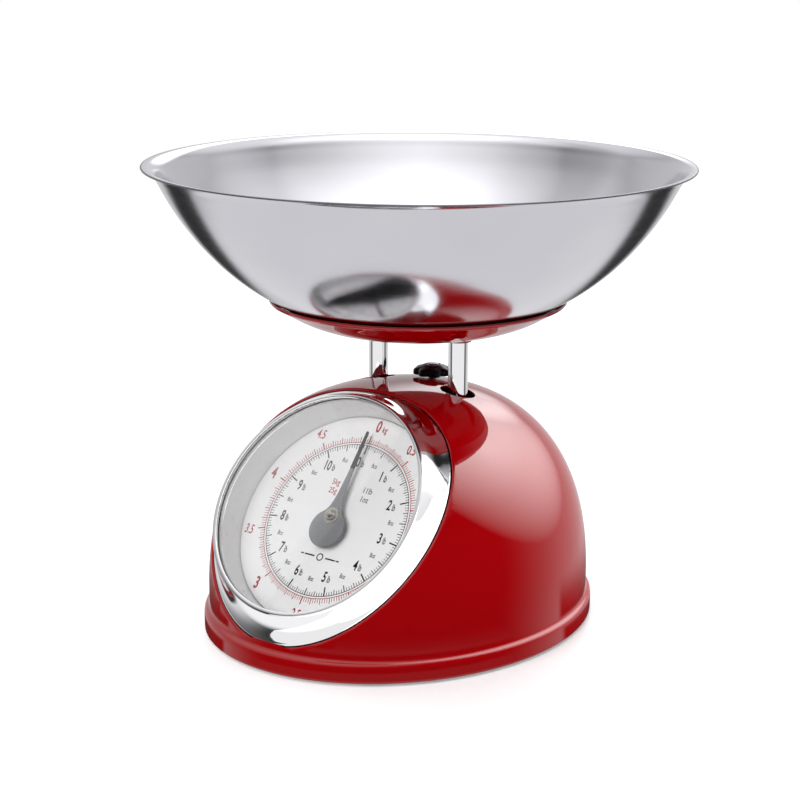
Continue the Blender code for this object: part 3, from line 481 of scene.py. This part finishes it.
piece("lens_disc", lathe([(0, 8.0), (LENS_R - 0.4, 8.0), (LENS_R - 0.1, 7.85), (LENS_R, 7.6), (LENS_R, 6.5), (0, 6.5)], 160), clear, "housing", ["lens"], D)
piece("cup_skin", lathe([(3.9, CUP_FLOOR)] + smoothed([(CUP_R - 1.6, CUP_FLOOR), (CUP_R - 0.5, CUP_FLOOR + 0.5), (CUP_R, CUP_FLOOR + 1.6)], 4)
      + [(CUP_R, 5.5), (CUP_R + 0.4, 5.9), (CUP_R + 1.1, 5.9), (CUP_R + 1.1, CUP_FLOOR - 1.2), (3.9, CUP_FLOOR - 1.2)], 160),
      white, "housing", ["dial_cup"], D)
piece("dial_face_plate", lathe([(3.9, PLATE_H), (52.4, PLATE_H), (52.75, PLATE_H - 0.15), (52.9, PLATE_H - 0.45), (52.9, PLATE_H - 0.8), (3.9, PLATE_H - 0.8)], 160),
      paper, "housing", ["dial_plate"], D)

# ------------------------------------------------------------------ print on the dial
INK_Z0, INK_Z1 = PLATE_H - 0.02, PLATE_H + 0.05


def bar(bm, r0, r1, degrees, width):
    a = math.radians(degrees)
    out, side = Vector((math.sin(a), math.cos(a), 0)), Vector((math.cos(a), -math.sin(a), 0))
    corners = [out * r0 - side * width / 2, out * r1 - side * width / 2, out * r1 + side * width / 2, out * r0 + side * width / 2]
    low = [bm.verts.new((c + Vector((0, 0, INK_Z0))) * MM) for c in corners]
    high = [bm.verts.new((c + Vector((0, 0, INK_Z1))) * MM) for c in corners]
    bm.faces.new(high[::-1])
    bm.faces.new(low)
    for i in range(4):
        j = (i + 1) % 4
        bm.faces.new((low[j], low[i], high[i], high[j]))


def circle_line(bm, r, width, steps=240):
    rows = []
    for rr, z in ((r - width / 2, INK_Z0), (r - width / 2, INK_Z1), (r + width / 2, INK_Z1), (r + width / 2, INK_Z0)):
        rows.append([bm.verts.new((rr * MM * math.cos(2 * math.pi * i / steps), rr * MM * math.sin(2 * math.pi * i / steps), z * MM)) for i in range(steps)])
    for a, b in zip(rows, rows[1:] + rows[:1]):
        for i in range(steps):
            j = (i + 1) % steps
            bm.faces.new((a[i], b[i], b[j], a[j]))


def lettering(bm, words, height, x, y, narrow=0.78, weight=0.0, align="CENTER"):
    """Words standing upright on the dial, in the built-in font."""
    curve = bpy.data.curves.new("words", "FONT")
    curve.body = words
    curve.size = height / 0.72
    curve.align_x = align
    curve.align_y = "CENTER"
    curve.extrude = (INK_Z1 - INK_Z0) / 2
    curve.offset = weight
    curve.resolution_u = 3
    o = bpy.data.objects.new("words", curve)
    bpy.context.scene.collection.objects.link(o)
    bpy.context.view_layer.update()
    graph = bpy.context.evaluated_depsgraph_get()
    mesh = bpy.data.meshes.new_from_object(o.evaluated_get(graph), depsgraph=graph)
    mesh.transform(Matrix.Scale(MM, 4) @ Matrix.Translation((x, y, (INK_Z0 + INK_Z1) / 2)) @ Matrix.Diagonal((narrow, 1, 1, 1)))
    bm.from_mesh(mesh)
    bpy.data.meshes.remove(mesh)
    bpy.data.objects.remove(o)
    bpy.data.curves.remove(curve)


def polar(r, degrees):
    return r * math.sin(math.radians(degrees)), r * math.cos(math.radians(degrees))


KG = 360.0 / 5.0
LB = KG * 0.45359237
red_print, black_print, grey_print = bmesh.new(), bmesh.new(), bmesh.new()
circle_line(red_print, 39.5, 0.3)
for i in range(200):
    end, width = (43.3, 0.6) if i % 20 == 0 else (42.4, 0.38) if i % 4 == 0 else (41.7, 0.28)
    bar(red_print, 39.5, end, i * KG / 40, width)
circle_line(black_print, 38.4, 0.3)
for i in range(176):
    start, width = (33.9, 0.66) if i % 16 == 0 else (35.1, 0.48) if i % 8 == 0 else (35.9, 0.36) if i % 4 == 0 else (36.6, 0.27)
    bar(black_print, start, 38.4, i * LB / 16, width)
for i in range(10):
    x, y = polar(48.3, i * KG / 2)
    if i == 0:
        x, y = 1.9, 48.5
        lettering(red_print, "0", 6.0, x, y, 0.66, 0.22)
        lettering(red_print, "kg", 3.3, x + 4.0, y - 0.9, 0.70, 0.07)
    elif i % 2 == 0:
        lettering(red_print, str(i // 2), 6.0, x, y, 0.68, 0.22)
    else:
        if i == 1:
            x, y = x - 3.3, y + 1.3
        lettering(red_print, "%.1f" % (i / 2), 4.7, x, y, 0.64, 0.10)
for i in range(11):
    x, y = polar(29.4, i * LB)
    digits = str(i)
    step = 1.6 if i < 10 else 2.7
    lettering(black_print, digits, 5.1, x - 1.3, y, 0.62, 0.16)
    lettering(black_print, "lb", 3.4, x - 1.3 + step + 1.2, y - 0.6, 0.56, 0.04)
    x, y = polar(30.4, (i + 0.5) * LB)
    lettering(black_print, "8oz", 2.4, x, y, 0.64, 0.02)
lettering(red_print, "5kg", 3.0, -8.6, 17.6, 0.8, 0.02)
lettering(red_print, "25g", 3.0, -8.6, 13.2, 0.8, 0.02)
lettering(grey_print, "11lb", 3.0, 10.6, 16.6, 0.8, 0.02)
lettering(grey_print, "1oz", 3.0, 10.6, 12.2, 0.8, 0.02)
# a plain ornament: a ring between straight bars of even width, two pieces to each side
for s in (-1, 1):
    for k, (x0, x1, w) in enumerate(((3.2, 9.0, 0.7), (9.6, 11.2, 0.7))):
        pts = [(s * x0, -19.4 - w / 2), (s * x1, -19.4 - w / 2), (s * x1, -19.4 + w / 2), (s * x0, -19.4 + w / 2)]
        low = [black_print.verts.new((x * MM, y * MM, INK_Z0 * MM)) for x, y in pts]
        high = [black_print.verts.new((x * MM, y * MM, INK_Z1 * MM)) for x, y in pts]
        black_print.faces.new(low)
        black_print.faces.new(high[::-1])
        for i in range(4):
            j = (i + 1) % 4
            black_print.faces.new((low[j], low[i], high[i], high[j]))
ring_bm = bmesh.new()
circle_line(ring_bm, 1.6, 0.55, 48)
ring_mesh = bpy.data.meshes.new("ring")
ring_bm.to_mesh(ring_mesh)
ring_bm.free()
ring_mesh.transform(Matrix.Translation((0, -19.4 * MM, 0)))
black_print.from_mesh(ring_mesh)
bpy.data.meshes.remove(ring_mesh)
for name, bm, mat in (("print_red", red_print, ink_red), ("print_black", black_print, ink_black), ("print_grey", grey_print, ink_grey)):
    bmesh.ops.remove_doubles(bm, verts=bm.verts, dist=1e-8)
    bmesh.ops.recalc_face_normals(bm, faces=bm.faces)
    piece(name, bm, mat, "housing", (), D)

# ------------------------------------------------------------------ pointer
PH = -6.9
tail = []
for i in range(49):
    a = math.radians(127 + 286 * i / 48)
    tail.append((9.5 * math.cos(a), -6.2 + 9.5 * math.sin(a)))
arm = smoothed([tail[-1], (4.2, 2.9), (2.9, 6.0), (2.05, 10.5), (1.4, 18.0), (0.95, 26.0)], 4)[1:]
body_pts = tail + arm + [(0.0, 27.2)] + [(-x, y) for x, y in arm[::-1]]
piece("pointer_blade", extruded(body_pts, PH, PH + 0.8, 0.2), grey, "pointer", ["pointer"], D)
piece("pointer_needle", extruded([(1.1, 24.6), (0.95, 30), (0.62, 43.4), (0.3, 44.0), (-0.3, 44.0), (-0.62, 43.4), (-0.95, 30), (-1.1, 24.6)], PH + 0.1, PH + 0.95, 0.12),
      needle_black, "pointer", (), D)
piece("pointer_hub_cap", lathe(smoothed([(0, -3.3), (1.0, -3.4), (1.9, -3.8), (2.45, -4.5), (2.6, -5.3)], 4) + [(2.7, -5.45), (3.9, -5.5), (4.05, -5.65), (4.05, PH + 1.0), (1.3, PH + 1.0), (1.3, -4.3), (0, -4.3)], 56),
      cap_metal, "pointer", ["pointer_cap"], D)

# ------------------------------------------------------------------ posts, platform, bowl
for side, node in ((-1, "left_post"), (1, "right_post")):
    bm = lathe([(0, 82), (1.9, 82), (1.9, 70.3), (POST_R - 0.5, 70.3), (POST_R - 0.12, 70.45), (POST_R, 70.8), (POST_R, 90), (POST_R, 110), (POST_R, 137.9), (POST_R - 0.12, 138.25), (POST_R - 0.5, 138.4), (1.9, 138.4), (1.9, 129), (0, 129)], 72)
    piece("chrome_" + node, bm, chrome, "carriage", [node], Matrix.Translation((side * POST_X * MM, 0, 0)))

over = smoothed([(34.0, 142.6), (38.0, 142.6), (46.0, 143.5), (56.0, 147.05), (66.5, 152.95), (70.2, 154.85)], 4)
under = smoothed([(20.0, 140.9), (28.0, 140.9), (38.0, 141.2), (47.0, 142.3), (57.0, 145.9), (66.5, 151.1), (70.6, 153.3)], 4)
rim = [(70.45, 154.93), (70.8, 155.0), (71.1, 154.85), (71.2, 154.5), (71.05, 153.8)]
bm = lathe([(0, 142.6)] + over + rim + under[::-1] + [(0, 140.9)], 160)
jobs = []
for side in (-1, 1):
    x = side * POST_X
    jobs.append(("UNION", tool(rod(6.3, (x, 0, 136.6), (x, 0, 141.6), 64))))
    jobs.append(("DIFFERENCE", tool(rod(POST_R + 0.3, (x, 0, 130), (x, 0, 138.7), 72))))
    jobs.append(("DIFFERENCE", tool(rod(4.0, (x, 0, 140.5), (x, 0, 146), 40))))
    jobs.append(("DIFFERENCE", tool(rod(1.9, (x, 0, 130), (x, 0, 146), 24))))
piece("platform_dish", carve(bm, jobs, 0.18), red, "carriage", ["platform"], angle=28)

outer = smoothed([(38.0, 143.0), (46.0, 143.9), (56.0, 147.5), (66.5, 153.3), (80.8, 162.2), (92.6, 171.6), (102.4, 181.6),
                  (110.4, 191.6), (117.0, 201.6), (122.0, 210.8), (124.2, 215.0), (126.6, 217.3), (129.2, 217.9)], 6)
inner = []
for i, (r, z) in enumerate(outer):
    a, b = Vector(outer[max(i - 1, 0)]), Vector(outer[min(i + 1, len(outer) - 1)])
    t = (b - a).normalized()
    inner.append((r - t.y * 0.8, z + t.x * 0.8))
bowl_profile = [(0, 143.8), (20, 143.8), (32, 143.8)] + inner[:-1] + [(129.2, 218.66), (129.35, 218.64), (129.35, 217.96)] + outer[::-1][1:] + [(32, 143.0), (20, 143.0), (0, 143.0)]
piece("steel_bowl", lathe(bowl_profile, 256), steel, "bowl", ["bowl"], angle=60)

# the lip's outer band, in the darkened steel that paints the rim's dark line as shade
piece("bowl_lip_painted_shade_band", lathe([(129.3, 217.93), (129.3, 218.67), (129.8, 218.62), (130.0, 218.3), (129.85, 217.98)], 256), lip_painted_shade_steel, "bowl", (), angle=60)

# ------------------------------------------------------------------ zero knob
LOBES, N = 8, 192
loops = []
for scale, z, depth in ((0.90, 0.0, 0.9), (0.98, 0.1, 1.0), (1.0, 0.4, 1.0), (1.0, 1.7, 1.0), (0.985, 2.3, 0.95), (0.95, 2.75, 0.85), (0.87, 3.15, 0.6), (0.76, 3.5, 0.35),
                        (0.62, 3.95, 0.12), (0.50, 4.4, 0.0), (0.42, 4.75, 0.0), (0.39, 4.85, 0.0), (0.355, 4.85, 0.0), (0.35, 4.0, 0.0)):
    ring_pts = []
    for i in range(N):
        a = 2 * math.pi * i / N
        wave = 0.5 + 0.5 * math.cos(LOBES * a)
        r = KNOB_R * scale - (1.5 * depth) * (1 - wave**0.7)
        ring_pts.append(Vector((r * math.cos(a), r * math.sin(a), KNOB_Z + z)) * MM)
    loops.append(ring_pts)
for r, z in ((2.3, 4.0), (2.3, 0.0)):
    loops.append([Vector((r * math.cos(2 * math.pi * i / N), r * math.sin(2 * math.pi * i / N), KNOB_Z + z)) * MM for i in range(N)])
piece("knob_body", loft(loops), black, "zero_knob", ["zero_knob"], Matrix.Translation((0, KNOB_Y * MM, 0)), angle=40)
piece("knob_button", lathe(smoothed([(0, 120.2), (1.4, 120.15), (2.4, 119.95), (2.9, 119.6)], 4) + [(3.0, 119.1), (0, 119.1)], 48), zinc, "zero_knob", ["knob_cap"],
      Matrix.Translation((0, KNOB_Y * MM, 0)))

# ------------------------------------------------------------------ springs, stretched between the hanger and the yoke
for name, x in (("left_spring", -9.0), ("right_spring", 9.0)):
    turns, per = 26, 14
    r = 3.8 - 0.45
    low, high = 31.0, 84.0
    pts = [(-2.6, 0, 23.2), (-1.6, 0, 22.75), (-0.7, 0, 22.9), (0, 0, 23.8), (0, 0, 28.6), (0.6, 0, 29.8), (1.8, 0, 30.5)]
    for i in range(turns * per + 1):
        a = 2 * math.pi * i / per
        pts.append((r * math.cos(a), r * math.sin(a), low + (high - low) * i / (turns * per)))
    pts += [(1.8, 0, 84.7), (0.6, 0, 85.4), (0, 0, 86.4), (0, 0, 90.6), (0.6, 0, 91.4), (1.6, 0, 91.6), (2.6, 0, 91.0)]
    curve = bpy.data.curves.new(name + "_coil", "CURVE")
    curve.dimensions = "3D"
    curve.bevel_depth = 0.45 * MM
    curve.bevel_resolution = 2
    curve.use_fill_caps = True
    spline = curve.splines.new("POLY")
    spline.points.add(len(pts) - 1)
    for q, (a, b, c) in zip(spline.points, pts):
        q.co = ((x + a) * MM, (KNOB_Y + b) * MM, c * MM, 1)
    o = bpy.data.objects.new("tmp", curve)
    bpy.context.scene.collection.objects.link(o)
    bpy.context.view_layer.update()
    graph = bpy.context.evaluated_depsgraph_get()
    mesh = bpy.data.meshes.new_from_object(o.evaluated_get(graph), depsgraph=graph)
    bpy.data.objects.remove(o)
    coil = bmesh.new()
    coil.from_mesh(mesh)
    bpy.data.meshes.remove(mesh)
    bmesh.ops.remove_doubles(coil, verts=coil.verts, dist=1e-7)
    bmesh.ops.recalc_face_normals(coil, faces=coil.faces)
    coil_o = piece(name + "_coil", coil, wire, None, ())
    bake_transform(coil_o)
    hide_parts(name)

# ------------------------------------------------------------------ finishes for the CAD nodes that stay
finishes = {"zinc_steel": zinc, "brass": brass, "rubber": rubber, "chrome": chrome, "red_enamel": red, "white_plastic": white,
            "dial_face": paper, "pointer_grey": grey, "clear": clear, "black_plastic": black, "stainless": steel, "spring_steel": wire}
slot_of = {s["node"]: s["material_slot"] for s in frame["record"]["subparts"]}
for node, obj in frame["nodes"].items():
    for s in obj.material_slots:
        s.material = finishes[slot_of[node]]

# ------------------------------------------------------------------ stage, light, camera
floor = bpy.data.objects.new("floor", bpy.data.meshes.new("floor"))
bm = bmesh.new()
bmesh.ops.create_circle(bm, cap_ends=True, segments=96, radius=1.5)
bm.to_mesh(floor.data)
bm.free()
bpy.context.scene.collection.objects.link(floor)
floor_mat, p = principled("studio_floor", (0.82, 0.82, 0.82), 0.3, Specular__IOR__Level=0.3)
p.inputs["Emission Color"].default_value = (1, 1, 1, 1)
p.inputs["Emission Strength"].default_value = 0.17
floor.data.materials.append(floor_mat)
floor.visible_glossy = False

CAM_AZ, CAM_PITCH, CAM_ROLL = math.radians(37.504), math.radians(14.489), math.radians(0.259)
look = Vector((-math.sin(CAM_AZ) * math.cos(CAM_PITCH), math.cos(CAM_AZ) * math.cos(CAM_PITCH), -math.sin(CAM_PITCH)))
right = Vector((math.cos(CAM_AZ), math.sin(CAM_AZ), 0))
up = right.cross(look)
r2 = right * math.cos(CAM_ROLL) + up * math.sin(CAM_ROLL)
u2 = -right * math.sin(CAM_ROLL) + up * math.cos(CAM_ROLL)
cam_data = bpy.data.cameras.new("camera")
cam_data.sensor_width = 36.0
cam_data.lens = 1926.0 / 800.0 * 36.0
cam_data.clip_start = 0.05
cam_data.clip_end = 60.0
cam = bpy.data.objects.new("camera", cam_data)
bpy.context.scene.collection.objects.link(cam)
m = Matrix((r2, u2, -look)).transposed().to_4x4()
m.translation = Vector((0.5432, -0.7216, 0.3371))
cam.matrix_world = m
bpy.context.scene.camera = cam

world = bpy.data.worlds.new("studio")
bpy.context.scene.world = world
world.use_nodes = True
wt = world.node_tree
wt.nodes.clear()


def wnode(kind, **props):
    n = wt.nodes.new(kind)
    for k, v in props.items():
        setattr(n, k, v)
    return n


def wmath(op, a, b=None, c=None):
    n = wnode("ShaderNodeMath", operation=op)
    for i, v in enumerate((a, b, c)):
        if v is None:
            continue
        if isinstance(v, (int, float)):
            n.inputs[i].default_value = v
        else:
            wt.links.new(v, n.inputs[i])
    return n.outputs[0]


def wsmooth(value, low, high, to_low=0.0, to_high=1.0):
    n = wnode("ShaderNodeMapRange", interpolation_type="SMOOTHSTEP")
    wt.links.new(value, n.inputs["Value"])
    n.inputs["From Min"].default_value = low
    n.inputs["From Max"].default_value = high
    n.inputs["To Min"].default_value = to_low
    n.inputs["To Max"].default_value = to_high
    return n.outputs["Result"]


def wdot(direction):
    n = wnode("ShaderNodeVectorMath", operation="DOT_PRODUCT")
    wt.links.new(coords.outputs["Generated"], n.inputs[0])
    n.inputs[1].default_value = direction
    return n.outputs["Value"]


coords = wnode("ShaderNodeTexCoord")
# the studio round the object: FRONT points from it to the photographer's side of the room, SIDE to that side's right
FRONT, SIDE = Vector((0.609, -0.793, 0.0)), Vector((0.793, 0.609, 0.0))


def way(f, s, z):
    return tuple((FRONT * f + SIDE * s + Vector((0, 0, z))).normalized())


def wmul(a, b):
    return wmath("MULTIPLY", a, b)


def winv(a):
    return wmath("SUBTRACT", 1.0, a)


rise, front, side = wdot((0, 0, 1)), wdot(tuple(FRONT)), wdot(tuple(SIDE))
# ceiling: brighter towards the zenith; walls: lit behind the object, dark on the photographer's side
lift = wmath("SUBTRACT", rise, wmul(wsmooth(front, -0.4, 0.55), 0.42))
ceiling = wmath("ADD", wsmooth(lift, 0.02, 0.72, 0.0, 1.05), wsmooth(rise, 0.72, 1.0, 0.0, 0.35))
walls = wmul(wsmooth(front, 0.30, -0.6, 0.03, 0.74), wsmooth(rise, 0.8, 0.25))
level = wmath("MAXIMUM", ceiling, walls)
# a lamp behind the object, and slightly darker stretches
level = wmath("ADD", level, wmul(wsmooth(wdot(way(-0.85, 0.2, 0.45)), 0.94, 0.99), 2.2))
level = wmath("ADD", level, wmul(wsmooth(wdot(way(-0.3, 0.66, 0.69)), 0.82, 0.97), 0.1))
level = wmul(level, winv(wmul(wsmooth(wdot(way(0.05, -0.73, 0.685)), 0.86, 0.96), 0.25)))
# below the horizon: pale table, with the shaded stretch in front of and beside the object
table = wsmooth(rise, -0.3, -0.62, 0.0, 0.97)
level = wmath("MAXIMUM", level, table)
edge = wmath("SUBTRACT", wmath("ABSOLUTE", side), wmul(wmath("ADD", front, 0.985), 1.45))
level = wmul(level, winv(wmul(wmul(wsmooth(edge, 0.03, 0.10), wsmooth(rise, -0.26, -0.36)), 0.95)))
shade = wnode("ShaderNodeBackground")
wt.links.new(level, shade.inputs["Strength"])
shade.inputs["Color"].default_value = (0.985, 0.985, 1.0, 1)
plain = wnode("ShaderNodeBackground")
plain.inputs["Color"].default_value = (1, 1, 1, 1)
plain.inputs["Strength"].default_value = 1.0
path = wnode("ShaderNodeLightPath")
mixer = wnode("ShaderNodeMixShader")
wt.links.new(path.outputs["Is Camera Ray"], mixer.inputs[0])
wt.links.new(shade.outputs[0], mixer.inputs[1])
wt.links.new(plain.outputs[0], mixer.inputs[2])
out = wnode("ShaderNodeOutputWorld")
wt.links.new(mixer.outputs[0], out.inputs["Surface"])


def softbox(name, at, target, size, power, glossy=False):
    data = bpy.data.lights.new(name, "AREA")
    data.shape = "RECTANGLE"
    data.size, data.size_y = size
    data.energy = power
    o = bpy.data.objects.new(name, data)
    bpy.context.scene.collection.objects.link(o)
    o.location = at
    o.rotation_euler = (Vector(target) - Vector(at)).to_track_quat("-Z", "Y").to_euler()
    o.visible_glossy = glossy
    o.visible_camera = False
    return o


softbox("overhead", (-0.3, 0.3, 1.7), (0, 0, 0.1), (1.8, 1.8), 14.0)
softbox("front_fill", (0.0, -1.5, 1.05), (0, -0.05, 0.07), (1.3, 1.0), 26.0)
softbox("right_fill", (1.6, 0.2, 0.9), (0, 0, 0.08), (1.0, 1.0), 5.0)
# a broad lit wall behind the photographer, kept off the enamel so that the red stays deep
at = Vector((0.609, -0.793, 0.0)) * 1.3
front_wall = softbox("trim_light", at + Vector((0, 0, 0.35)), (0, 0, 0.35), (9.0, 4.4), 106.0, True)
front_wall.visible_diffuse = False
side_wall = softbox("trim_side_light", (1.5, -0.1, 0.35), (0, 0, 0.35), (9.0, 4.4), 100.0, True)
side_wall.visible_diffuse = False
trim = bpy.data.collections.new("trim_receivers")
for n in ("bezel_skin", "chrome_left_post", "chrome_right_post"):
    trim.objects.link(bpy.data.objects[n])
front_wall.light_linking.receiver_collection = trim
ring = bpy.data.collections.new("ring_receiver")
ring.objects.link(bpy.data.objects["bezel_skin"])
side_wall.light_linking.receiver_collection = ring
# the pale ceiling that the inside of the bowl mirrors
bowl_light = softbox("bowl_light", (0.67, -0.87, 1.55), (0, 0, 0.17), (5.0, 5.0), 33.0, True)
bowl_light.data.spread = math.radians(120)
bowl_light.visible_diffuse = False
inside = bpy.data.collections.new("bowl_receivers")
for n in ("steel_bowl", "bowl_lip_painted_shade_band"):
    inside.objects.link(bpy.data.objects[n])
bowl_light.light_linking.receiver_collection = inside
# the lamp high on the right that runs down the enamel as a soft glow
at = Vector((0.609, -0.793, 0.0)) * -0.40 + Vector((0.793, 0.609, 0.0)) * 0.93 + Vector((0, 0, 1.0))
glow = softbox("enamel_glow", at, (0.05, 0.03, 0.08), (3.4, 3.4), 56.0, True)
glow.data.spread = math.radians(96)
enamel = bpy.data.collections.new("enamel_receivers")
enamel.objects.link(bpy.data.objects["shell_skin"])
glow.light_linking.receiver_collection = enamel

bpy.context.scene.view_settings.view_transform = "Standard"
bpy.context.scene.view_settings.look = "None"
bpy.context.scene.view_settings.exposure = 0.0

bpy.context.view_layer.update()
